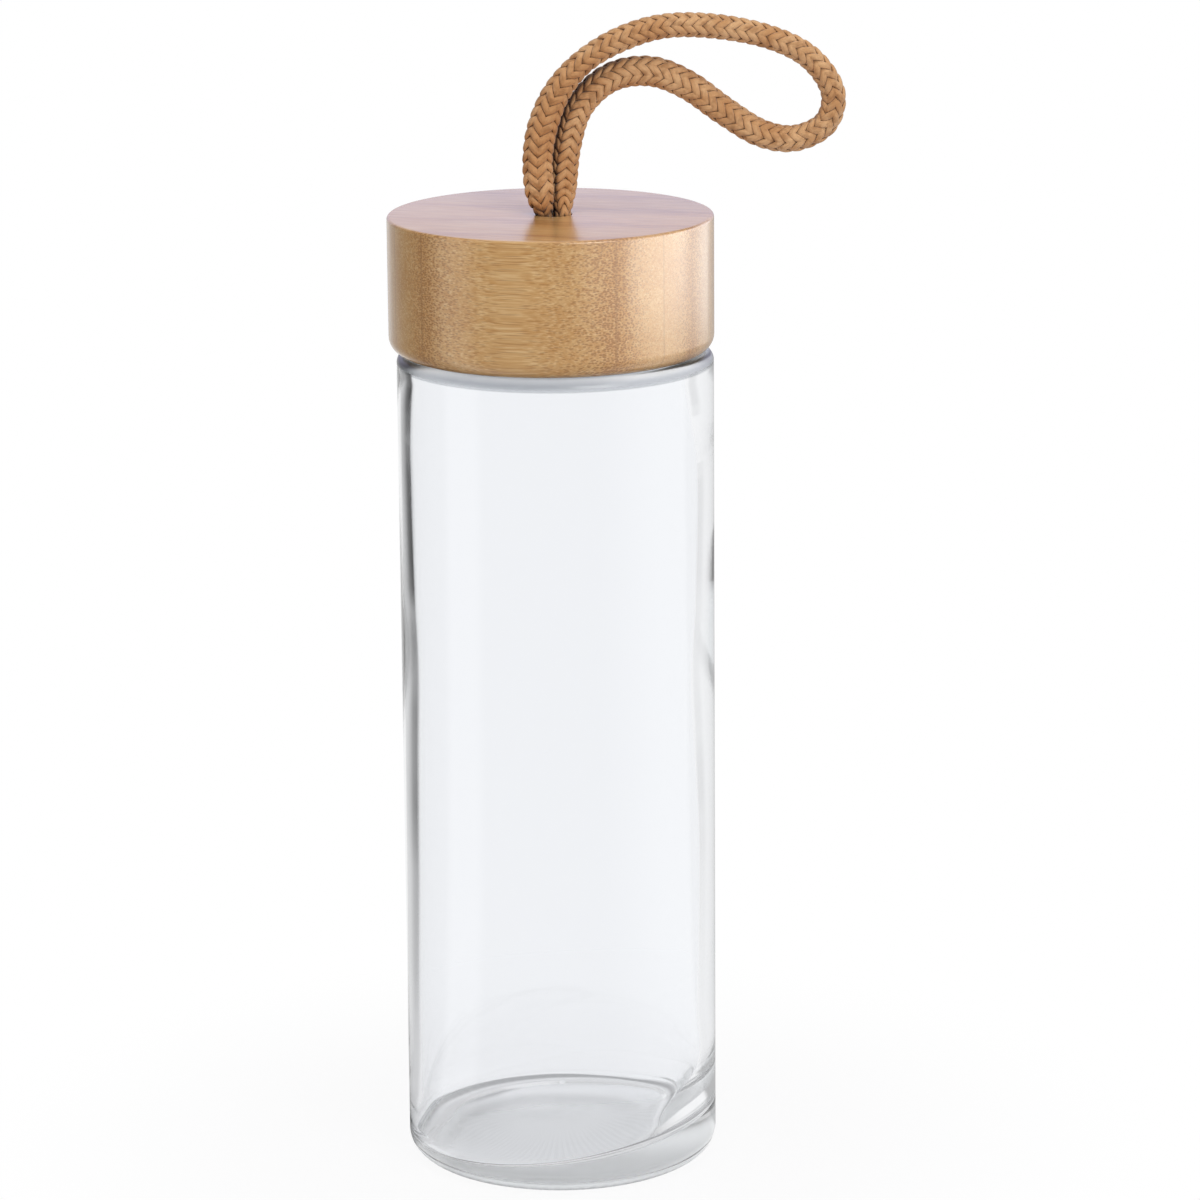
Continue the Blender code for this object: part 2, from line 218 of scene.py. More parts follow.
class Graph:
    """Short calls for building a node tree."""

    def __init__(self, owner):
        owner.use_nodes = True
        self.tree = owner.node_tree

    def node(self, kind, settings=None, **inputs):
        """Add a node; inputs are values or output sockets, named by their sockets' names."""
        made = self.tree.nodes.new(kind)
        for name, value in (settings or {}).items():
            setattr(made, name, value)
        for name, value in inputs.items():
            self.put(made, name.replace("_", " "), value)
        return made

    def put(self, node, name, value):
        """Set or link an input; a name may be its number after the word slot."""
        socket = node.inputs[int(name[4:])] if name.startswith("slot") else node.inputs[name]
        if isinstance(value, bpy.types.NodeSocket):
            self.tree.links.new(value, socket)
        elif isinstance(value, tuple) and len(value) == 3 and socket.type == "RGBA":
            socket.default_value = (*value, 1.0)
        else:
            socket.default_value = value

    def math(self, operation, first, second=0.0, clamp=False):
        """A Math node's output."""
        settings = {"operation": operation, "use_clamp": clamp}
        return self.node("ShaderNodeMath", settings, slot0=first, slot1=second).outputs[0]

    def mix(self, share, first, second):
        """A colour Mix node's output."""
        made = self.node("ShaderNodeMix", {"data_type": "RGBA"})
        self.put(made, "slot0", share)
        self.put(made, "slot6", first)
        self.put(made, "slot7", second)
        return made.outputs[2]

    def ramp(self, value, low, high, low_result=0.0, high_result=1.0, kind="SMOOTHSTEP"):
        """A value taken from one range to another, smoothly or in a line."""
        made = self.node(
            "ShaderNodeMapRange",
            {"interpolation_type": kind},
            Value=value,
            From_Min=low,
            From_Max=high,
            To_Min=low_result,
            To_Max=high_result,
        )
        return made.outputs[0]

    def band(self, value, rise_from, rise_to, fall_from, fall_to, kind="SMOOTHSTEP"):
        """One within a range and nought outside it, with soft edges."""
        rise = self.ramp(value, rise_from, rise_to, 0.0, 1.0, kind)
        fall = self.ramp(value, fall_from, fall_to, 1.0, 0.0, kind)
        return self.math("MULTIPLY", rise, fall)

    def sector(self, turn, angles, kind="SMOOTHSTEP"):
        """A band of four angles, given in degrees."""
        return self.band(turn, *(math.radians(angle) for angle in angles), kind=kind)

    def noise(self, coordinates, scale, detail=2.0, roughness=0.5):
        """A Noise Texture's value."""
        made = self.node(
            "ShaderNodeTexNoise",
            Vector=coordinates,
            Scale=scale,
            Detail=detail,
            Roughness=roughness,
        )
        return made.outputs[0]

    def relief(self, shader, height, strength, depth):
        """A fine relief on a shader's surface."""
        bump = self.node("ShaderNodeBump", Height=height, Strength=strength, Distance=depth)
        self.put(shader, "Normal", bump.outputs[0])


def new_material(name):
    """A material with its graph, its Principled shader and its coordinates."""
    material = bpy.data.materials.new(name)
    graph = Graph(material)
    place = graph.node("ShaderNodeTexCoord")
    return material, graph, graph.tree.nodes["Principled BSDF"], place


FLOOR_SIZE = 12.0
FLOOR_COLOUR = linear(236, 234, 240)
FLOOR_SHADOW_SHARE = 0.07
FLOOR_SHADOW_NEAR = 0.04
FLOOR_SHADOW_FAR = 0.13
WHITE = (1.0, 1.0, 1.0)
AMBIENT_COLOUR = linear(246, 248, 255)
AMBIENT_STRENGTH = 0.34

# Where gloss finds white on the floor and in the sky, in degrees round from straight in front by
# the right: start of the rise, its end, start of the fall, its end, and the share of white. The
# rest of the studio looks dark to gloss.
GLOSS_FLOOR = [
    (14.0, 84.0, 102.0, 114.0, 1.0),
    (95.0, 110.0, 218.0, 240.0, 0.5),
    (176.0, 184.0, 204.0, 216.0, 0.9),
    (268.0, 280.0, 298.0, 310.0, 0.8),
]
GLOSS_SKY = [
    (14.0, 84.0, 205.0, 225.0, 1.0),
    (268.0, 280.0, 298.0, 310.0, 0.8),
]
GLOSS_DARK = 0.12
GLOSS_SKY_COLOUR = linear(226, 224, 249)

# A shade painted on the floor behind the bottle, as its wall's edge shows it: start across from the
# axis, angles in degrees out from straight behind, share of the right one, and darkness at shares
# of the reach.
# Light that crosses both walls bends four times and shows none of it.
EDGE_BENDS = 3.0
SHADE_START = 0.028
SHADE_LEFT = (8.0, 34.0, 42.0, 49.0)
SHADE_RIGHT = (30.0, 40.0, 45.0, 50.0)
SHADE_RIGHT_SHARE = 0.18
SHADE_REACH = 1.6
SHADE_SHARES = [
    (0.031, 0.18),
    (0.063, 0.26),
    (0.094, 0.40),
    (0.150, 0.50),
    (0.200, 0.72),
    (0.240, 0.62),
    (0.269, 0.94),
    (0.500, 0.94),
    (0.800, 0.90),
    (1.000, 0.60),
]

# The shade painted on the floor under the bottle that its base shows: distances from the axis, and
# darkness
UNDER_RIM = (0.0275, 0.0295, 0.0312, 0.0326)
UNDER_RIM_SHARE = 0.60
UNDER_FLOOR_SHARE = 0.13


def direction_white(graph, across, bands):
    """How white the studio looks to gloss, from a direction or a place."""
    axes = graph.node("ShaderNodeSeparateXYZ", Vector=across)
    back = graph.math("MULTIPLY", axes.outputs["X"], -1.0)
    turn = graph.math("ADD", graph.math("ARCTAN2", back, axes.outputs["Y"]), math.pi)
    white = GLOSS_DARK
    for *angles, share in bands:
        lit = graph.math("MULTIPLY", graph.sector(turn, angles), share)
        white = graph.math("MAXIMUM", white, lit)
    return white


def seen_white(graph, across, bands):
    """The backdrop's whiteness, which rays see it, and the Light Path node with their kinds."""
    path = graph.node("ShaderNodeLightPath")
    straight = graph.math(
        "MAXIMUM", path.outputs["Is Camera Ray"], path.outputs["Is Transmission Ray"]
    )
    gloss = path.outputs["Is Glossy Ray"]
    glossy_white = graph.math("MULTIPLY", gloss, direction_white(graph, across, bands))
    white = graph.math("MAXIMUM", straight, glossy_white)
    return white, graph.math("MAXIMUM", straight, gloss), path


def add_world():
    """A white backdrop, and a soft even light on everything."""
    world = bpy.data.worlds.new("studio")
    bpy.context.scene.world = world
    graph = Graph(world)
    graph.tree.nodes.clear()
    place = graph.node("ShaderNodeTexCoord")
    white, seen, path = seen_white(graph, place.outputs["Generated"], GLOSS_SKY)
    light = graph.node("ShaderNodeBackground", Color=AMBIENT_COLOUR, Strength=AMBIENT_STRENGTH)
    reflected = graph.math(
        "SUBTRACT", path.outputs["Is Glossy Ray"], path.outputs["Is Transmission Ray"], clamp=True
    )
    colour = graph.mix(reflected, WHITE, GLOSS_SKY_COLOUR)
    backdrop = graph.node("ShaderNodeBackground", Color=colour, Strength=white)
    both = graph.node(
        "ShaderNodeMixShader", slot0=seen, slot1=light.outputs[0], slot2=backdrop.outputs[0]
    )
    output = graph.node("ShaderNodeOutputWorld")
    graph.put(output, "Surface", both.outputs[0])


def floor_shade(graph, place, reach, bends):
    """The shade painted behind and under the bottle that only its glass shows, from 0 to 1."""
    axes = graph.node("ShaderNodeSeparateXYZ", Vector=place)
    turns = []
    for across in (graph.math("MULTIPLY", axes.outputs["X"], -1.0), axes.outputs["X"]):
        from_start = graph.math("SUBTRACT", across, SHADE_START)
        turns.append(graph.math("ARCTAN2", from_start, axes.outputs["Y"]))
    left_side = graph.sector(turns[0], SHADE_LEFT, "LINEAR")
    right_side = graph.math("MULTIPLY", graph.sector(turns[1], SHADE_RIGHT), SHADE_RIGHT_SHARE)
    sides = graph.math("MAXIMUM", left_side, right_side)
    curve = graph.node("ShaderNodeValToRGB", Fac=graph.math("DIVIDE", reach, SHADE_REACH))
    stops = curve.color_ramp.elements
    stops.remove(stops[1])
    for position, share in SHADE_SHARES:
        stop = stops.new(position)
        stop.color = (share, share, share, 1.0)
    stops.remove(stops[0])
    at_edge = graph.math("LESS_THAN", bends, EDGE_BENDS)
    side_shade = graph.math("MULTIPLY", at_edge, graph.math("MULTIPLY", sides, curve.outputs[0]))
    rim_shade = graph.math("MULTIPLY", graph.band(reach, *UNDER_RIM), UNDER_RIM_SHARE)
    floor_under_shade = graph.ramp(reach, UNDER_RIM[2], UNDER_RIM[3], UNDER_FLOOR_SHARE, 0.0)
    under_shade = graph.math("MAXIMUM", rim_shade, floor_under_shade)
    return graph.math("MAXIMUM", under_shade, side_shade)


def add_floor():
    """A pale floor that melts into the backdrop, keeps a faint shadow, and has shade painted for
    glass.
    """
    bpy.ops.mesh.primitive_plane_add(size=FLOOR_SIZE)
    floor = bpy.context.object
    floor.name = "floor"
    material = bpy.data.materials.new("floor")
    graph = Graph(material)
    graph.tree.nodes.clear()
    place = graph.node("ShaderNodeTexCoord").outputs["Object"]
    reach = graph.node("ShaderNodeVectorMath", {"operation": "LENGTH"}, slot0=place)
    reach = reach.outputs["Value"]
    white, seen, path = seen_white(graph, place, GLOSS_FLOOR)
    through_glass = path.outputs["Is Transmission Ray"]
    # Shade painted behind and under the bottle, seen only through the glass
    shade = floor_shade(graph, place, reach, path.outputs["Transmission Depth"])
    shade = graph.math("MULTIPLY", through_glass, shade)
    strength = graph.math("MULTIPLY", white, graph.math("SUBTRACT", 1.0, shade))
    paper = graph.node("ShaderNodeBsdfDiffuse", Color=FLOOR_COLOUR)
    backdrop = graph.node("ShaderNodeEmission", Color=WHITE, Strength=strength)
    far = graph.ramp(reach, FLOOR_SHADOW_NEAR, FLOOR_SHADOW_FAR, 1.0 - FLOOR_SHADOW_SHARE, 1.0)
    both = graph.node(
        "ShaderNodeMixShader",
        slot0=graph.math("MULTIPLY", seen, far),
        slot1=paper.outputs[0],
        slot2=backdrop.outputs[0],
    )
    output = graph.node("ShaderNodeOutputMaterial")
    graph.put(output, "Surface", both.outputs[0])
    floor.data.materials.append(material)


# Name, place, width, height, power, colour, whether it lights matt surfaces, whether gloss shows
# it. The boxes that light no matt surface are for the lid's varnish and light the lid alone.
LAMPS = [
    ("front", (0.58, -0.98, 0.76), 0.60, 0.60, 6.0, linear(255, 252, 248), True, True),
    ("top", (0.00, -0.20, 0.95), 0.50, 0.50, 2.2, linear(255, 252, 248), True, False),
    ("right", (0.72, -0.12, 0.205), 0.76, 0.40, 3.4, linear(248, 253, 255), False, True),
    ("right_front", (0.43, -0.61, 0.205), 0.40, 0.40, 0.55, linear(255, 252, 250), False, True),
    ("right_rear", (0.60, 0.42, 0.205), 0.50, 0.40, 1.1, linear(250, 252, 255), False, True),
    ("left", (-0.58, -0.16, 0.245), 0.20, 0.40, 0.40, linear(248, 250, 255), True, False),
]
LAMP_AIM = (0.0, 0.0, 0.17)


def add_lamps(varnished):
    """Soft boxes: a key from the front right, one above, one at the left, three for the varnish."""
    receivers = bpy.data.collections.new("varnished")
    receivers.objects.link(varnished)
    for name, place, width, height, power, colour, matt, gloss in LAMPS:
        data = bpy.data.lights.new(name, "AREA")
        data.shape = "RECTANGLE"
        data.size = width
        data.size_y = height
        data.energy = power
        data.color = colour
        lamp = linked(name, data)
        lamp.location = place
        aim = Vector(LAMP_AIM) - lamp.location
        lamp.rotation_euler = aim.to_track_quat("-Z", "Y").to_euler()
        lamp.visible_camera = False
        lamp.visible_transmission = False
        lamp.visible_diffuse = matt
        lamp.visible_glossy = gloss
        if not matt:
            lamp.light_linking.receiver_collection = receivers


# Meshes


def smooth_outward(mesh):
    """Turn a closed mesh's faces outward and shade it smooth."""
    shape = bmesh.new()
    shape.from_mesh(mesh)
    bmesh.ops.recalc_face_normals(shape, faces=shape.faces)
    shape.to_mesh(mesh)
    shape.free()
    mesh.shade_smooth()


def arc(centre, radius, start, end, steps=ARC_STEPS):
    """Points of (radius, height) along an arc, its angles in degrees from the outward direction."""
    angles = [math.radians(start + (end - start) * step / steps) for step in range(steps + 1)]
    return [(centre[0] + radius * math.cos(a), centre[1] + radius * math.sin(a)) for a in angles]


def rounding(corner, radius, start, end, steps=ARC_STEPS):
    """The arc that rounds off an outline's corner, from one angle to another."""
    middle = math.radians((start + end) / 2)
    inward = math.copysign(radius, math.cos(middle))
    down = math.copysign(radius, math.sin(middle))
    return arc((corner[0] - inward, corner[1] - down), radius, start, end, steps)


def column(radius, foot, top, step):
    """Points of (radius, height) up or down a straight wall, its ends left out."""
    rows = max(1, round(abs(top - foot) / step))
    return [(radius, foot + (top - foot) * row / rows) for row in range(1, rows)]


def turned(name, outline, shaped):
    """A solid turned from an outline about Z.

    The outline is closed on itself, or starts and ends on the axis. shaped takes arrays of outline
    index, radius, height and angle, and returns x, y and z.
    """
    on_axis = outline[0][0] == 0.0
    rings = outline[1:-1] if on_axis else outline
    index = np.repeat(np.arange(len(rings)), TURN_STEPS)
    radius = np.repeat([point[0] for point in rings], TURN_STEPS)
    height = np.repeat([point[1] for point in rings], TURN_STEPS)
    angle = np.tile(np.arange(TURN_STEPS) * math.tau / TURN_STEPS, len(rings))
    vertices = np.stack(shaped(index, radius, height, angle), axis=1).tolist()
    faces = []
    last = len(rings) if not on_axis else len(rings) - 1
    for ring in range(last):
        start = ring * TURN_STEPS
        following = (ring + 1) % len(rings) * TURN_STEPS
        for step in range(TURN_STEPS):
            after = (step + 1) % TURN_STEPS
            faces.append((start + step, start + after, following + after, following + step))
    if on_axis:
        for height_on_axis, ring in ((outline[0][1], 0), (outline[-1][1], len(rings) - 1)):
            centre = np.mean(vertices[ring * TURN_STEPS : (ring + 1) * TURN_STEPS], axis=0)
            vertices.append((centre[0], centre[1], height_on_axis))
            for step in range(TURN_STEPS):
                after = (step + 1) % TURN_STEPS
                start = ring * TURN_STEPS
                faces.append((len(vertices) - 1, start + step, start + after))
    mesh = bpy.data.meshes.new(name)
    mesh.from_pydata(vertices, [], faces)
    smooth_outward(mesh)
    mesh.set_sharp_from_angle(angle=math.radians(SHARP_ANGLE))
    return linked(name, mesh)


def thread_height(angle, height, foot, start_turn):
    """How high a thread's rounded ridge stands, from 0 to 1, at points round and along a wall."""
    ridge = np.zeros_like(angle)
    turns = angle / math.tau - start_turn
    for whole in range(-1, math.ceil(THREAD_TURNS) + 2):
        turn = turns + whole
        offset = (height - foot - THREAD_PITCH * turn) / THREAD_HALF_WIDTH
        fade = np.clip(np.minimum(turn, THREAD_TURNS - turn) / THREAD_FADE_TURNS, 0.0, 1.0)
        ridge = np.maximum(ridge, np.sqrt(np.clip(1.0 - offset**2, 0.0, 1.0)) * fade)
    return ridge


# Cord


def hermite(t, start, leaving, end, arriving):
    """A smooth curve between two values, with the slopes at which it leaves and arrives."""
    return (
        (2 * t**3 - 3 * t**2 + 1) * start
        + (t**3 - 2 * t**2 + t) * leaving
        + (3 * t**2 - 2 * t**3) * end
        + (t**3 - t**2) * arriving
    )


def smooth_route(route, step):
    """Points a step apart on a smooth curve through a route's own points."""
    points = np.array(route)
    points = np.vstack([2 * points[0] - points[1], points, 2 * points[-1] - points[-2]])
    smooth = []
    for before, start, end, after in zip(points, points[1:], points[2:], points[3:]):
        count = max(1, round(float(np.linalg.norm((end - start)[:3])) / step))
        t = (np.arange(count) / count)[:, None]
        smooth.append(hermite(t, start, (end - before) / 2, end, (after - start) / 2))
    return np.vstack([*smooth, points[-2]])


def length_along(points):
    """How far along a path each of its points lies."""
    return np.concatenate([[0.0], np.cumsum(np.linalg.norm(np.diff(points, axis=0), axis=1))])


def carried_normals(path):
    """Two normals along a path, carried on without twist; the first one starts near X."""
    tangents = np.gradient(path, axis=0)
    tangents /= np.linalg.norm(tangents, axis=1)[:, None]
    across = np.empty_like(path)
    normal = np.array([1.0, 0.0, 0.0])
    for row, tangent in enumerate(tangents):
        normal = normal - tangent * (normal @ tangent)
        normal = normal / np.linalg.norm(normal)
        across[row] = normal
    return across, np.cross(tangents, across)


def tube(centres, sides, ups, widths, heights, steps, first):
    """Vertices, faces and UVs of a closed tube with oval sections."""
    angle = np.arange(steps) * math.tau / steps
    ring = (
        sides[:, None, :] * (widths[:, None] * np.cos(angle))[:, :, None]
        + ups[:, None, :] * (heights[:, None] * np.sin(angle))[:, :, None]
    )
    vertices = (centres[:, None, :] + ring).reshape(-1, 3)
    rows = np.arange(len(centres) - 1)[:, None] * steps + first
    step = np.arange(steps)
    after = (step + 1) % steps
    faces = np.stack(
        [rows + step, rows + after, rows + steps + after, rows + steps + step], axis=2
    ).reshape(-1, 4)
    length = length_along(centres)
    along = np.stack([length[:-1], length[:-1], length[1:], length[1:]], axis=1)
    round_it = np.stack([step, step + 1, step + 1, step], axis=1) / steps
    maps = np.stack(
        [np.repeat(along, steps, axis=0), np.tile(round_it, (len(centres) - 1, 1))], axis=2
    )
    ends = [tuple(first + step[::-1]), tuple(first + (len(centres) - 1) * steps + step)]
    return vertices, faces.tolist(), ends, maps.reshape(-1, 2)


def woven_strand(path, normals, radii, angle, way):
    """A strand's centres, sides and ups as it winds round the cord, over and under the others."""
    across, depth = normals
    wave = np.sin(STRANDS_EACH_WAY / 2 * angle)
    weave = way * np.tanh(WEAVE_SQUARENESS * wave) / math.tanh(WEAVE_SQUARENESS)
    share = BRAID_SHARE - STRAND_THICKNESS_SHARE / 2 - WEAVE_SHARE + WEAVE_SHARE * weave
    out = across * np.cos(angle)[:, None] + depth * np.sin(angle)[:, None]
    centres = path + (
        across * (radii[0] * share * np.cos(angle))[:, None]
        + depth * (radii[1] * share * np.sin(angle))[:, None]
    )
    heading = np.gradient(centres, axis=0)
    heading /= np.linalg.norm(heading, axis=1)[:, None]
    sides = np.cross(heading, out)
    sides /= np.linalg.norm(sides, axis=1)[:, None]
    return centres, sides, np.cross(sides, heading)


def braid(name, path, across_radii, depth_radii):
    """A cord of sixteen strands, eight each way, over a plain core."""
    across, depth = carried_normals(path)
    length = length_along(path)
    scale = (across_radii + depth_radii) / 2 / CORD_RADIUS
    strand_spacing = math.tau * CORD_RADIUS / STRANDS_EACH_WAY
    slope = math.atan2(math.tau * CORD_RADIUS, BRAID_LAY)
    width = STRAND_WIDTH_SHARE * strand_spacing * math.cos(slope) / 2
    thickness = STRAND_THICKNESS_SHARE * CORD_RADIUS / 2
    tubes = []
    total = 0
    for way in (1, -1):
        for strand in range(STRANDS_EACH_WAY):
            angle = math.tau * strand / STRANDS_EACH_WAY + way * math.tau * length / BRAID_LAY
            woven = woven_strand(path, (across, depth), (across_radii, depth_radii), angle, way)
            made = tube(*woven, width * scale, thickness * scale, STRAND_SIDES, total)
            made[3][:, 0] += strand + (way > 0) * STRANDS_EACH_WAY
            tubes.append(made)
            total += len(made[0])
    core_size = (across_radii * CORE_SHARE, depth_radii * CORE_SHARE)
    tubes.append(tube(path, across, depth, *core_size, STRAND_SIDES, total))
    vertices = np.vstack([made[0] for made in tubes])
    walls = [face for made in tubes for face in made[1]]
    caps = [face for made in tubes for face in made[2]]
    maps = np.vstack([made[3] for made in tubes])
    mesh = bpy.data.meshes.new(name)
    mesh.from_pydata(vertices.tolist(), [], walls + caps)
    layer = mesh.uv_layers.new(name="strands")
    corner_maps = np.zeros((len(mesh.loops), 2), np.float32)
    corner_maps[: len(maps)] = maps
    layer.data.foreach_set("uv", corner_maps.ravel())
    smooth_outward(mesh)
    mesh.materials.append(strand_material())
    mesh.materials.append(core_material())
    slots = np.zeros(len(mesh.polygons), np.int32)
    slots[len(walls) - len(tubes[-1][1]) : len(walls)] = 1
    mesh.polygons.foreach_set("material_index", slots)
    return linked(name, mesh)


STRAND_COLOUR = linear(204, 151, 99)
STRAND_DARK = linear(150, 98, 54)
STRAND_PALE = linear(226, 180, 130)
# Painted shade in the crevices between strands and between the legs
STRAND_PAINTED_SHADE = linear(62, 30, 12)
# The core's dark tones are painted shade between the strands
CORE_PAINTED_SHADE_DARK = linear(72, 38, 16)
CORE_PAINTED_SHADE_PALE = linear(116, 72, 38)

# Yarn: how often its patterns repeat in a metre, and for each pattern the values between which it
# rises, with the strength at both where that isn't nought and one
FILAMENT_SCALE = (900.0, 9.0, 1.0)
BLOTCH_SCALE = 160.0
PICK_SCALE = 620.0
FLUFF_SCALE = 2500.0
BLOTCH_PALE = (0.35, 0.65)
PICK_DARK = (0.50, 0.72, 0.0, 0.45)
FILAMENT_DARK = (0.45, 0.75, 0.0, 0.35)
# Painted shade from occlusion: how far it looks for nearby strands, its samples, and its ramp
CREVICE_REACH = 0.0045
CREVICE_SAMPLES = 8
CREVICE_PAINTED_SHADE = (0.08, 0.67, 1.0, 0.0)
FILAMENT_RELIEF = 0.00008


@functools.cache
def strand_material():
    """Spun yarn: fine filaments along the strand, soft sheen, uneven colour, shade painted in
    crevices.
    """
    material, graph, shader, place = new_material("cord_yarn")
    strand_map = graph.node("ShaderNodeMapping", Vector=place.outputs["UV"], Scale=FILAMENT_SCALE)
    filament = graph.noise(strand_map.outputs[0], 1.0, 3.0, 0.6)
    blotch = graph.noise(place.outputs["Object"], BLOTCH_SCALE, 3.0, 0.6)
    pick = graph.noise(place.outputs["Object"], PICK_SCALE, 1.0)
    tone = graph.mix(graph.ramp(blotch, *BLOTCH_PALE), STRAND_COLOUR, STRAND_PALE)
    tone = graph.mix(graph.ramp(pick, *PICK_DARK), tone, STRAND_DARK)
    tone = graph.mix(graph.ramp(filament, *FILAMENT_DARK), tone, STRAND_DARK)
    # Shade painted where the strands and legs crowd each other, from occlusion
    crevice = graph.node(
        "ShaderNodeAmbientOcclusion", {"samples": CREVICE_SAMPLES}, Distance=CREVICE_REACH
    )
    painted_crevice_shade = graph.ramp(crevice.outputs["AO"], *CREVICE_PAINTED_SHADE)
    graph.put(shader, "Base Color", graph.mix(painted_crevice_shade, tone, STRAND_PAINTED_SHADE))
    graph.put(shader, "Roughness", 0.78)
    graph.put(shader, "Sheen Weight", 0.25)
    graph.put(shader, "Sheen Roughness", 0.45)
    graph.relief(shader, filament, 0.45, FILAMENT_RELIEF)
    return material


@functools.cache
def core_material():
    """The braid's core, its dark colour painted shade, seen only between strands."""
    material, graph, shader, place = new_material("cord_core")
    fluff = graph.noise(place.outputs["Object"], FLUFF_SCALE, 2.0)
    graph.put(shader, "Base Color", graph.mix(fluff, CORE_PAINTED_SHADE_DARK, CORE_PAINTED_SHADE_PALE))
    graph.put(shader, "Roughness", 0.9)
    return material


def carry_cord(mouth):
    """The loop, from the knot up through the hole, round and back."""
    route = [(x, y, mouth + height, share, depth) for x, y, height, share, depth in CORD_ROUTE]
    smooth = smooth_route(route, CORD_STEP)
    path = smooth[:, :3]
    cord = braid("carry_cord_braid", path, smooth[:, 3] * CORD_RADIUS, smooth[:, 4] * CORD_RADIUS)
    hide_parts("carry_cord")
    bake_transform(cord)


def cord_knot(low, high):
    """The knotted ends, two wraps of the cord in the pocket above the liner."""
    middle = high.x - KNOT_CORD_RADIUS
    foot = low.z + KNOT_CORD_RADIUS
    top = high.z - KNOT_CORD_RADIUS
    steps = round(KNOT_WRAPS * math.tau * middle / KNOT_STEP)
    share = np.linspace(0.0, 1.0, steps)
    angle = math.tau * KNOT_WRAPS * share
    path = np.stack(
        [middle * np.cos(angle), middle * np.sin(angle), foot + (top - foot) * share], axis=1
    )
    radii = np.full(steps, KNOT_CORD_RADIUS)
    knot = braid("cord_knot_wraps", path, radii, radii)
    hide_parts("cord_knot")
    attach(knot, "knot")


# Bamboo lid

BAMBOO_HONEY = linear(216, 165, 98)
BAMBOO_PALE = linear(229, 189, 128)
BAMBOO_DEEP = linear(199, 143, 78)
BAMBOO_DOT = linear(160, 104, 50)
BAMBOO_SEAM = linear(150, 102, 58)
BAMBOO_FLECK = linear(238, 205, 150)

# Fibre dots and seams: their sizes, where along the fibres the dots fade towards the left end and
# to what strength, how far the pattern jumps from strip to strip, how finely it repeats (clouds in
# a metre, streaks and fine marks in a dot's length and spacing), and the depth of its relief
DOT_LENGTH = 0.012
DOT_SPACING = 0.00036
SEAM_WIDTH = 0.00030
DOTS_FADE = (-0.026, -0.017, 0.2, 1.0)
STRIP_SHIFT = 0.037
CLOUD_SCALE = 75.0
STREAK_SCALE = 0.45
FINE_SCALE = 1.3
GRAIN_RELIEF = 0.00006

# For each pattern the values between which it rises, with the strength at both where that isn't
# nought and one. A strip's fibres are dense at one face and sparse at the other.
STREAK_PALE = (0.30, 0.70)
CLOUD_DEEP = (0.35, 0.75, 0.0, 0.5)
STRIP_PALE = (0.0, 1.0, 0.0, 0.20)
DENSE_DEEP = (0.55, 1.0, 0.0, 0.45)
FINE_DEEP = (0.35, 0.70, 0.0, 0.50)
FINE_FLECK = (0.52, 0.25, 0.0, 0.65)
DOT_SIZE = (0.0, 1.0, 0.30, 0.50)
DOT_EDGE = (-0.12, 0.16)
DOT_STRENGTH = (0.0, 1.0, 0.34, 0.72)
SEAM_STRENGTH = 0.32
STREAK_ROUGHNESS = (0.2, 0.8, 0.32, 0.42)
VARNISH_ROUGHNESS = 0.24
VARNISH_IOR = 1.65


def bamboo_strips(graph, depth):
    """Each strip's number, the share of it to its nearer seam, and how dense its fibres stand."""
    stacked = graph.math("MULTIPLY", depth, -1.0)
    strips = graph.math("DIVIDE", graph.math("SUBTRACT", stacked, STRIP_SEAM_PLACE), STRIP_WIDTH)
    strip = graph.math("FLOOR", strips)
    within = graph.math("SUBTRACT", strips, strip)
    off_middle = graph.math("ABSOLUTE", graph.math("SUBTRACT", within, 0.5))
    dense = graph.math("SUBTRACT", 1.0, graph.math("PINGPONG", strips, 1.0))
    return strip, graph.math("SUBTRACT", 0.5, off_middle), dense


def bamboo_fibres(graph, turned_place, strip):
    """Coordinates that jump from strip to strip, plain and drawn out along the fibres."""
    shift = graph.node("ShaderNodeCombineXYZ", X=strip, Y=strip, Z=strip)
    offset = graph.node(
        "ShaderNodeVectorMath", {"operation": "SCALE"}, slot0=shift.outputs[0], Scale=STRIP_SHIFT
    )
    moved = graph.node(
        "ShaderNodeVectorMath", {"operation": "ADD"}, slot0=turned_place, slot1=offset.outputs[0]
    )
    fibres = graph.node(
        "ShaderNodeMapping",
        Vector=moved.outputs[0],
        Scale=(1.0 / DOT_LENGTH, 1.0 / DOT_SPACING, 1.0 / DOT_SPACING),
    )
    return moved.outputs[0], fibres.outputs[0]


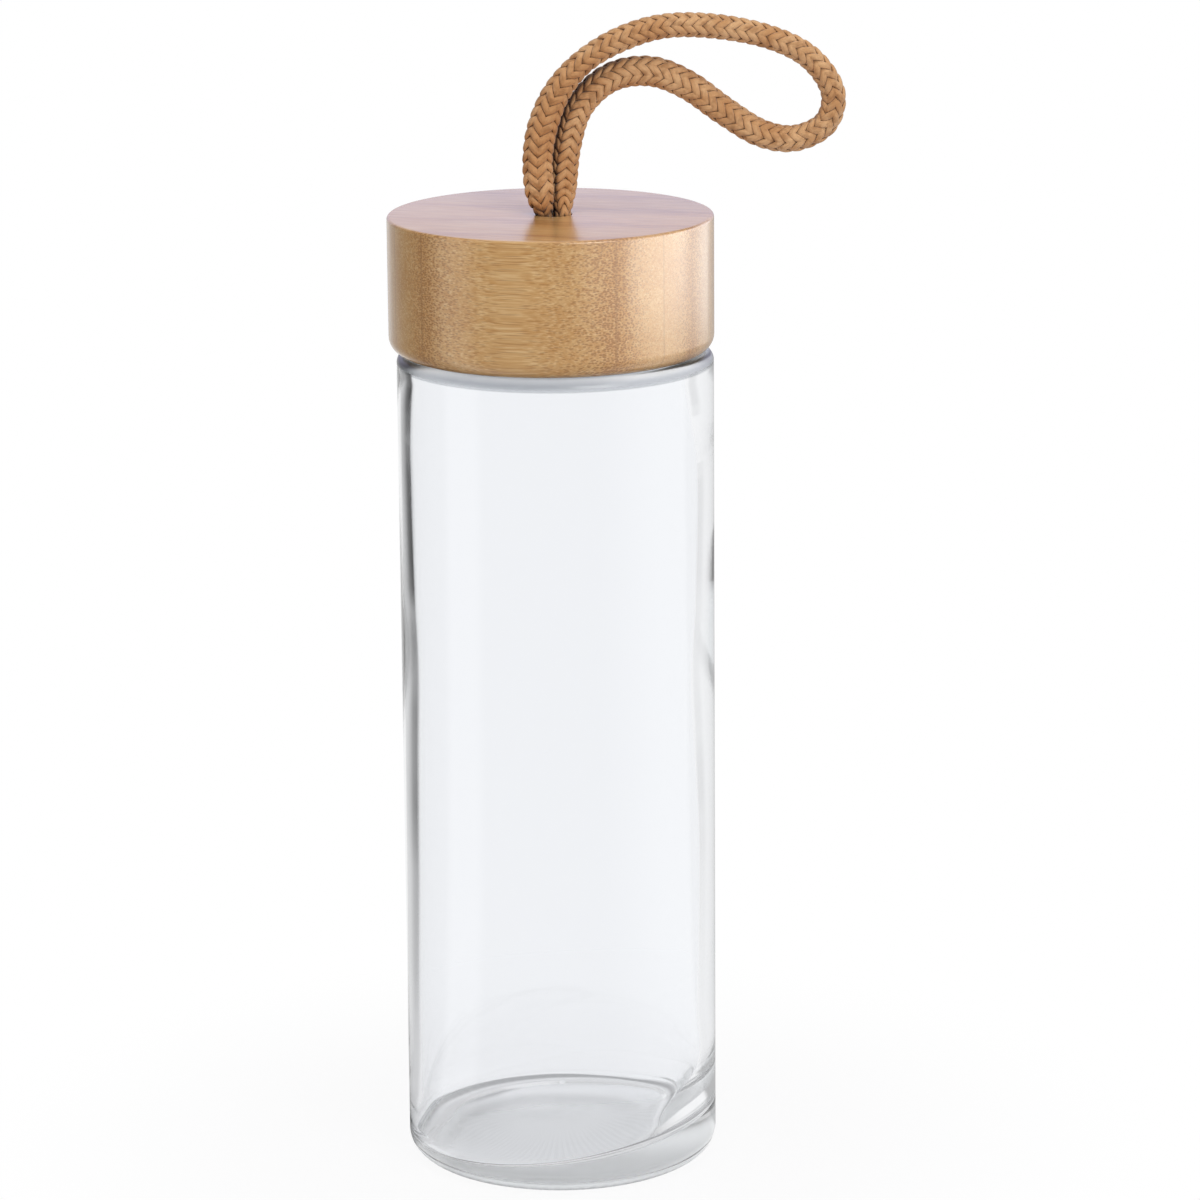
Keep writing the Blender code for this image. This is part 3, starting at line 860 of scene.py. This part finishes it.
def bamboo_material():
    """Strips of glued bamboo, their fibres drawn through the solid, under a clear varnish."""
    material, graph, shader, place = new_material("bamboo")
    turn = graph.node(
        "ShaderNodeMapping",
        {"vector_type": "POINT"},
        Vector=place.outputs["Object"],
        Rotation=(0.0, 0.0, -math.radians(FIBRE_TURN)),
    )
    axes = graph.node("ShaderNodeSeparateXYZ", Vector=turn.outputs[0])
    strip, seam_gap, dense = bamboo_strips(graph, axes.outputs["Y"])
    moved, fibres = bamboo_fibres(graph, turn.outputs[0], strip)
    dots = graph.node(
        "ShaderNodeTexVoronoi", {"feature": "F1"}, Vector=fibres, Scale=1.0, Randomness=0.9
    )
    inside = graph.math("SUBTRACT", graph.ramp(dense, *DOT_SIZE), dots.outputs["Distance"])
    dot = graph.ramp(inside, *DOT_EDGE)
    streaks = graph.noise(fibres, STREAK_SCALE, 3.0, 0.6)
    fine = graph.noise(fibres, FINE_SCALE, 2.0, 0.6)
    dotted_end = graph.ramp(axes.outputs["X"], *DOTS_FADE)
    clouds = graph.noise(moved, CLOUD_SCALE, 2.0)
    own_tone = graph.node("ShaderNodeTexWhiteNoise", {"noise_dimensions": "1D"}, W=strip)

    tone = graph.mix(graph.ramp(streaks, *STREAK_PALE), BAMBOO_HONEY, BAMBOO_PALE)
    tone = graph.mix(graph.ramp(clouds, *CLOUD_DEEP), tone, BAMBOO_DEEP)
    tone = graph.mix(graph.ramp(own_tone.outputs["Value"], *STRIP_PALE), tone, BAMBOO_PALE)
    tone = graph.mix(graph.ramp(dense, *DENSE_DEEP), tone, BAMBOO_DEEP)
    tone = graph.mix(graph.ramp(fine, *FINE_DEEP), tone, BAMBOO_DEEP)
    tone = graph.mix(graph.ramp(fine, *FINE_FLECK), tone, BAMBOO_FLECK)
    strength = graph.math("MULTIPLY", graph.ramp(dense, *DOT_STRENGTH), dotted_end)
    tone = graph.mix(graph.math("MULTIPLY", dot, strength), tone, BAMBOO_DOT)
    seam = graph.ramp(seam_gap, 0.0, SEAM_WIDTH / STRIP_WIDTH, SEAM_STRENGTH, 0.0)
    graph.put(shader, "Base Color", graph.mix(seam, tone, BAMBOO_SEAM))
    graph.put(shader, "Roughness", graph.ramp(streaks, *STREAK_ROUGHNESS))
    graph.put(shader, "Coat Weight", 1.0)
    graph.put(shader, "Coat Roughness", VARNISH_ROUGHNESS)
    graph.put(shader, "Coat IOR", VARNISH_IOR)
    height = graph.math("SUBTRACT", streaks, graph.math("MULTIPLY", dot, 0.6))
    graph.relief(shader, height, 0.25, GRAIN_RELIEF)
    return material


def bamboo_lid(sizes):
    """The turned block, its outside a little off the axis of its bores."""
    outside = [
        *rounding((sizes.lid_radius, sizes.lid_top), LID_TOP_ROUNDING, 90, 0),
        *rounding((sizes.lid_radius, sizes.lid_foot), LID_FOOT_ROUNDING, 0, -90),
    ]
    recess_radius = sizes.liner_radius + GAP
    inside = [
        *rounding((recess_radius, sizes.lid_foot), SMALL_ROUNDING, 270, 180),
        (recess_radius, sizes.recess_top),
        (KNOT_POCKET_RADIUS, sizes.recess_top),
        (KNOT_POCKET_RADIUS, sizes.pocket_top),
        (CORD_HOLE_RADIUS, sizes.pocket_top),
        *rounding((CORD_HOLE_RADIUS, sizes.lid_top), CORD_HOLE_ROUNDING, 180, 90),
    ]

    def shaped(index, radius, height, angle):
        shift = np.where(index < len(outside), -LID_OFF_CENTRE, 0.0)
        return radius * np.cos(angle) + shift, radius * np.sin(angle), height

    lid = turned("bamboo_lid_block", [*outside, *inside], shaped)
    lid.data.materials.append(bamboo_material())
    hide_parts("bamboo_lid")
    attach(lid, "lid")
    return lid


# Liner and gasket

LINER_COLOUR = linear(238, 239, 238)
GASKET_COLOUR = linear(226, 228, 226)
MOULD_FLOW_SCALE = 220.0
MOULD_GRAIN_SCALE = 3500.0
MOULD_GRAIN = (0.2, 0.8)
MOULD_RELIEF = 0.00003
FLOW_SHADE = 0.93
SMOOTHER = 0.05
ROUGHER = 0.08
SUBSURFACE_REACH = 0.002


def moulded_material(name, colour, roughness, subsurface):
    """A pale moulded plastic or rubber with a fine uneven skin."""
    material, graph, shader, place = new_material(name)
    flow = graph.noise(place.outputs["Object"], MOULD_FLOW_SCALE, 3.0)
    grain = graph.noise(place.outputs["Object"], MOULD_GRAIN_SCALE, 2.0)
    darker = tuple(FLOW_SHADE * value for value in colour)
    graph.put(shader, "Base Color", graph.mix(flow, colour, darker))
    uneven = graph.ramp(grain, *MOULD_GRAIN, roughness - SMOOTHER, roughness + ROUGHER)
    graph.put(shader, "Roughness", uneven)
    graph.put(shader, "Subsurface Weight", subsurface)
    graph.put(shader, "Subsurface Radius", (SUBSURFACE_REACH,) * 3)
    graph.relief(shader, grain, 0.15, MOULD_RELIEF)
    return material


def threaded_liner(sizes):
    """The inner cap, with the thread that grips the glass."""
    skirt_top = sizes.liner_ceiling
    wall = column(sizes.liner_inner, skirt_top, sizes.liner_foot, THREAD_ROW_HEIGHT)
    skirt = [(sizes.liner_inner, skirt_top), *wall]
    foot = [
        (sizes.liner_inner, sizes.liner_foot + SMALL_ROUNDING),
        (sizes.liner_inner + SMALL_ROUNDING, sizes.liner_foot),
        (sizes.liner_radius - SMALL_ROUNDING, sizes.liner_foot),
        (sizes.liner_radius, sizes.liner_foot + SMALL_ROUNDING),
    ]
    crown = rounding((sizes.liner_radius, sizes.liner_top), SMALL_ROUNDING, 0, 90)
    outline = [(0.0, skirt_top), *skirt, *foot, *crown, (0.0, sizes.liner_top)]
    foot_of_thread = (
        sizes.shoulder
        + THREAD_FOOT_HEIGHT
        - THREAD_PITCH / 2
        + THREAD_PITCH * LINER_THREAD_LEAD_IN_TURNS
    )

    def shaped(index, radius, height, angle):
        ridge = thread_height(angle, height, foot_of_thread, LINER_THREAD_LEAD_IN_TURNS)
        on_skirt = index < len(skirt)
        inset = np.where(on_skirt, THREAD_DEPTH * ridge, 0.0)
        return (radius - inset) * np.cos(angle), (radius - inset) * np.sin(angle), height

    liner = turned("threaded_liner_cap", outline, shaped)
    liner.data.materials.append(moulded_material("liner", LINER_COLOUR, 0.36, 0.3))
    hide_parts("threaded_liner")
    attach(liner, "lid")


def silicone_gasket(low, high, inner):
    """The soft ring between the glass rim and the liner."""
    corners = [(high.x, high.z), (high.x, low.z), (inner, low.z), (inner, high.z)]
    outline = []
    for corner, start in zip(corners, (90, 0, -90, -180)):
        outline += rounding(corner, GASKET_ROUNDING, start, start - 90, GASKET_ARC_STEPS)

    def shaped(index, radius, height, angle):
        return radius * np.cos(angle), radius * np.sin(angle), height

    gasket = turned("silicone_gasket_ring", outline, shaped)
    gasket.data.materials.append(moulded_material("gasket", GASKET_COLOUR, 0.5, 0.5))
    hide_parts("silicone_gasket")
    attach(gasket, "seal")


# Glass

GLASS_COLOUR = (0.955, 0.963, 0.978)
GLASS_IOR = 1.52
GLASS_DENSITY = 4.0
GLASS_ABSORPTION = (0.80, 0.86, 0.88)
GLASS_WAVE_SCALE = 26.0
GLASS_WAVE_RELIEF = 0.0006

# The cavity's floor rises to the right and, by a share of that, to the back
FLOOR_TILT = 0.07
FLOOR_TILT_BACK_SHARE = 0.4
FLOOR_TILT_HEIGHT = 0.020

# The shoulder's duller, fire-softened ring, and the shade painted on it under the lid
DULL_RING = (0.1618, 0.1623, 0.1640, 0.1645)
DULL_ROUGHNESS = 0.30
SHOULDER_SHADE_BAND = (0.1615, 0.1618, 0.1627, 0.1640)
SHOULDER_PAINTED_SHADE_COLOUR = (0.42, 0.44, 0.47)

# The foot's dull underside, as the heights between which it fades and its roughness at both, and
# the painted shade in the notches round it
DULL_FOOT = (0.0022, 0.0034, 0.35, 0.0)
NOTCH_SHADE_SHAPE = (-0.6, 0.7, 0.4, 1.0)
NOTCH_SHADE_BAND = (0.0002, 0.0006, 0.0013, 0.0019)
NOTCH_PAINTED_SHADE_COLOUR = (0.30, 0.31, 0.33)
NOTCH_PAINTED_SHADE_SHARE = 0.22

# The blown cavity's height, its shift to the right and its swell
CAVITY_DRIFT = [
    (0.0060, -0.0040, -0.0007),
    (0.0080, -0.0024, -0.0010),
    (0.0110, -0.0014, -0.0010),
    (0.0160, -0.0006, -0.0003),
    (0.0300, -0.0004, -0.0001),
    (0.0600, -0.0001, -0.0002),
    (0.0950, -0.0004, -0.0009),
    (0.1150, -0.0003, -0.0002),
    (0.1420, -0.0004, -0.0002),
    (0.1570, -0.0009, -0.0011),
    (0.1625, -0.0009, -0.0009),
]


def glass_material():
    """Clear soda glass, faintly blue-grey through its depth, with shade painted in notches and
    shoulder.
    """
    material, graph, shader, place = new_material("glass")
    graph.put(shader, "IOR", GLASS_IOR)
    graph.put(shader, "Transmission Weight", 1.0)
    axes = graph.node("ShaderNodeSeparateXYZ", Vector=place.outputs["Object"])
    height = axes.outputs["Z"]
    turn = graph.math("ARCTAN2", axes.outputs["Y"], axes.outputs["X"])
    tooth = graph.math("COSINE", graph.math("MULTIPLY", turn, KNURL_NOTCHES))
    # Painted shade in the knurl notches round the foot
    notch = graph.math(
        "MULTIPLY", graph.ramp(tooth, *NOTCH_SHADE_SHAPE), graph.band(height, *NOTCH_SHADE_BAND)
    )
    tone = graph.mix(graph.math("MULTIPLY", notch, NOTCH_PAINTED_SHADE_SHARE), GLASS_COLOUR, NOTCH_PAINTED_SHADE_COLOUR)
    # Painted shade on the shoulder ring just under the lid
    tone = graph.mix(graph.band(height, *SHOULDER_SHADE_BAND), tone, SHOULDER_PAINTED_SHADE_COLOUR)
    graph.put(shader, "Base Color", tone)
    ring = graph.math("MULTIPLY", graph.band(height, *DULL_RING), DULL_ROUGHNESS)
    foot = graph.ramp(height, *DULL_FOOT)
    graph.put(shader, "Roughness", graph.math("MAXIMUM", ring, foot))
    waves = graph.noise(place.outputs["Object"], GLASS_WAVE_SCALE, 1.0)
    graph.relief(shader, waves, 0.03, GLASS_WAVE_RELIEF)
    depth = graph.node("ShaderNodeVolumeAbsorption", Color=GLASS_ABSORPTION, Density=GLASS_DENSITY)
    graph.put(graph.tree.nodes["Material Output"], "Volume", depth.outputs[0])
    return material


def drift(height):
    """The cavity's shift and swell at some heights, on a smooth curve through the table's rows."""
    heights, *columns = np.array(CAVITY_DRIFT).T
    row = np.clip(np.searchsorted(heights, height) - 1, 0, len(heights) - 2)
    span = heights[row + 1] - heights[row]
    t = np.clip((height - heights[row]) / span, 0.0, 1.0)
    found = []
    for values in columns:
        rises = np.gradient(values, heights)
        leaving = span * rises[row]
        arriving = span * rises[row + 1]
        found.append(hermite(t, values[row], leaving, values[row + 1], arriving))
    return found


def cavity_outline(sizes):
    """The cavity from its floor up the wall to the ceiling under the shoulder."""
    radius = sizes.cavity_radius
    floor = [(radius * share, sizes.cavity_floor) for share in FLOOR_RING_SHARES]
    wall_foot = sizes.cavity_floor + INNER_HEEL_ROUNDING
    wall_top = sizes.cavity_ceiling - INNER_SHOULDER_ROUNDING
    return [
        *floor,
        *rounding(
            (radius, sizes.cavity_floor), INNER_HEEL_ROUNDING, -90, 0, INNER_HEEL_ARC_STEPS
        ),
        *column(radius, wall_foot, wall_top, CAVITY_ROW_HEIGHT),
        *rounding(
            (radius, sizes.cavity_ceiling), INNER_SHOULDER_ROUNDING, 0, 90, INNER_SHOULDER_ARC_STEPS
        ),
    ]


def mouth_outline(sizes):
    """The bore's foot and the rim, from the inside to the outside."""
    return [
        *rounding((sizes.bore_radius, sizes.cavity_ceiling), NECK_FOOT_ROUNDING, 270, 180),
        *rounding((sizes.bore_radius, sizes.rim), RIM_ROUNDING, 180, 90),
        *rounding((sizes.neck_radius, sizes.rim), RIM_ROUNDING, 90, 0),
    ]


def punt_outline(sizes):
    """The shallow hollow under the base, from its edge to near the axis."""
    radius = sizes.body_radius - HEEL_ROUNDING - BEARING_RING_WIDTH
    dome_radius = (radius**2 + PUNT_DEPTH**2) / (2 * PUNT_DEPTH)
    edge = math.degrees(math.asin(radius / dome_radius))
    centre = (0.0, PUNT_DEPTH - dome_radius)
    return arc(centre, dome_radius, 90 - edge, 90, PUNT_ARC_STEPS)[:-1]


def glass_bottle(sizes):
    """The bottle in one closed skin: cavity, rim, thread, shoulder, body, heel, knurls and punt."""
    cavity = cavity_outline(sizes)
    mouth = mouth_outline(sizes)
    neck_foot_top = sizes.shoulder + NECK_FOOT_ROUNDING
    neck = column(sizes.neck_radius, sizes.rim - RIM_ROUNDING, neck_foot_top, THREAD_ROW_HEIGHT)
    neck_foot = rounding((sizes.neck_radius, sizes.shoulder), NECK_FOOT_ROUNDING, 180, 270)
    shoulder = rounding(
        (sizes.body_radius, sizes.shoulder), SHOULDER_ROUNDING, 90, 0, SHOULDER_ARC_STEPS
    )
    body_top = sizes.shoulder - SHOULDER_ROUNDING
    body = column(sizes.body_radius, body_top, HEEL_ROUNDING, BODY_ROW_HEIGHT)
    heel = rounding((sizes.body_radius, 0.0), HEEL_ROUNDING, 0, -90, HEEL_ARC_STEPS)
    outline = [
        (0.0, sizes.cavity_floor),
        *cavity,
        *mouth,
        *neck,
        *neck_foot,
        *shoulder,
        *body,
        *heel,
        *punt_outline(sizes),
        (0.0, PUNT_DEPTH),
    ]
    neck_start = len(cavity) + len(mouth)
    neck_end = neck_start + len(neck)
    heel_start = neck_end + len(neck_foot) + len(shoulder) + len(body)
    heel_end = heel_start + len(heel) - 1
    thread_foot = sizes.shoulder + THREAD_FOOT_HEIGHT

    def shaped(index, radius, height, angle):
        in_cavity = index < len(cavity)
        on_neck = (index >= neck_start) & (index < neck_end)
        in_heel = (index >= heel_start) & (index < heel_end)
        shift, swell = np.where(in_cavity, drift(height), 0.0)
        thread = THREAD_DEPTH * thread_height(angle, height, thread_foot, 0.0)
        belt = np.clip(1.0 - np.abs(height - KNURL_HEIGHT) / KNURL_HALF_HEIGHT, 0.0, 1.0)
        notch = belt * KNURL_DEPTH * (0.5 + 0.5 * np.cos(KNURL_NOTCHES * angle))
        reach = radius + np.where(on_neck, thread, 0.0) + swell * (radius / sizes.cavity_radius)
        reach = reach - np.where(in_heel, notch, 0.0)
        x = reach * np.cos(angle) + shift
        y = reach * np.sin(angle)
        low = np.clip(1.0 - (height - sizes.cavity_floor) / FLOOR_TILT_HEIGHT, 0.0, 1.0) ** 2
        rise = FLOOR_TILT * low * (x + FLOOR_TILT_BACK_SHARE * y)
        return x, y, height + np.where(in_cavity, rise, 0.0)

    bottle = turned("glass_bottle_skin", outline, shaped)
    bottle.data.materials.append(glass_material())
    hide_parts("glass_bottle")
    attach(bottle, "bottle")


class Sizes:
    """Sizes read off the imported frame, and those that follow from them."""

    def __init__(self):
        lid_low, lid_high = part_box("bamboo_lid")
        glass_low, glass_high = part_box("glass_bottle")
        liner_low, liner_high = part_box("threaded_liner")
        self.lid_foot = lid_low.z
        self.lid_top = lid_high.z
        self.lid_radius = (lid_high.x - lid_low.x) / 2
        self.body_radius = glass_high.x
        self.rim = glass_high.z
        self.shoulder = self.rim - NECK_HEIGHT
        self.neck_radius = self.body_radius - SHOULDER_WIDTH
        self.bore_radius = self.neck_radius - NECK_WALL
        self.cavity_radius = self.body_radius - BODY_WALL
        self.cavity_ceiling = self.shoulder - SHOULDER_WALL
        self.cavity_floor = PUNT_DEPTH + FLOOR_THICKNESS
        self.liner_radius = liner_high.x
        self.liner_inner = self.liner_radius - LINER_WALL
        self.liner_foot = liner_low.z
        self.liner_top = liner_high.z
        self.liner_ceiling = self.liner_top - LINER_CEILING
        self.recess_top = self.liner_top + GAP
        self.pocket_top = self.lid_top - LID_CEILING


def main():
    """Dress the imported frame."""
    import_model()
    bpy.context.scene.view_settings.view_transform = "Standard"
    bpy.context.scene.cycles.max_bounces = LIGHT_BOUNCES
    bpy.context.scene.cycles.glossy_bounces = LIGHT_BOUNCES
    bpy.context.scene.cycles.transmission_bounces = LIGHT_BOUNCES
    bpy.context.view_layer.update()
    sizes = Sizes()
    add_camera()
    carry_cord(sizes.lid_top)
    cord_knot(*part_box("cord_knot"))
    add_world()
    add_floor()
    add_lamps(bamboo_lid(sizes))
    threaded_liner(sizes)
    silicone_gasket(*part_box("silicone_gasket"), sizes.bore_radius - GAP)
    glass_bottle(sizes)


main()
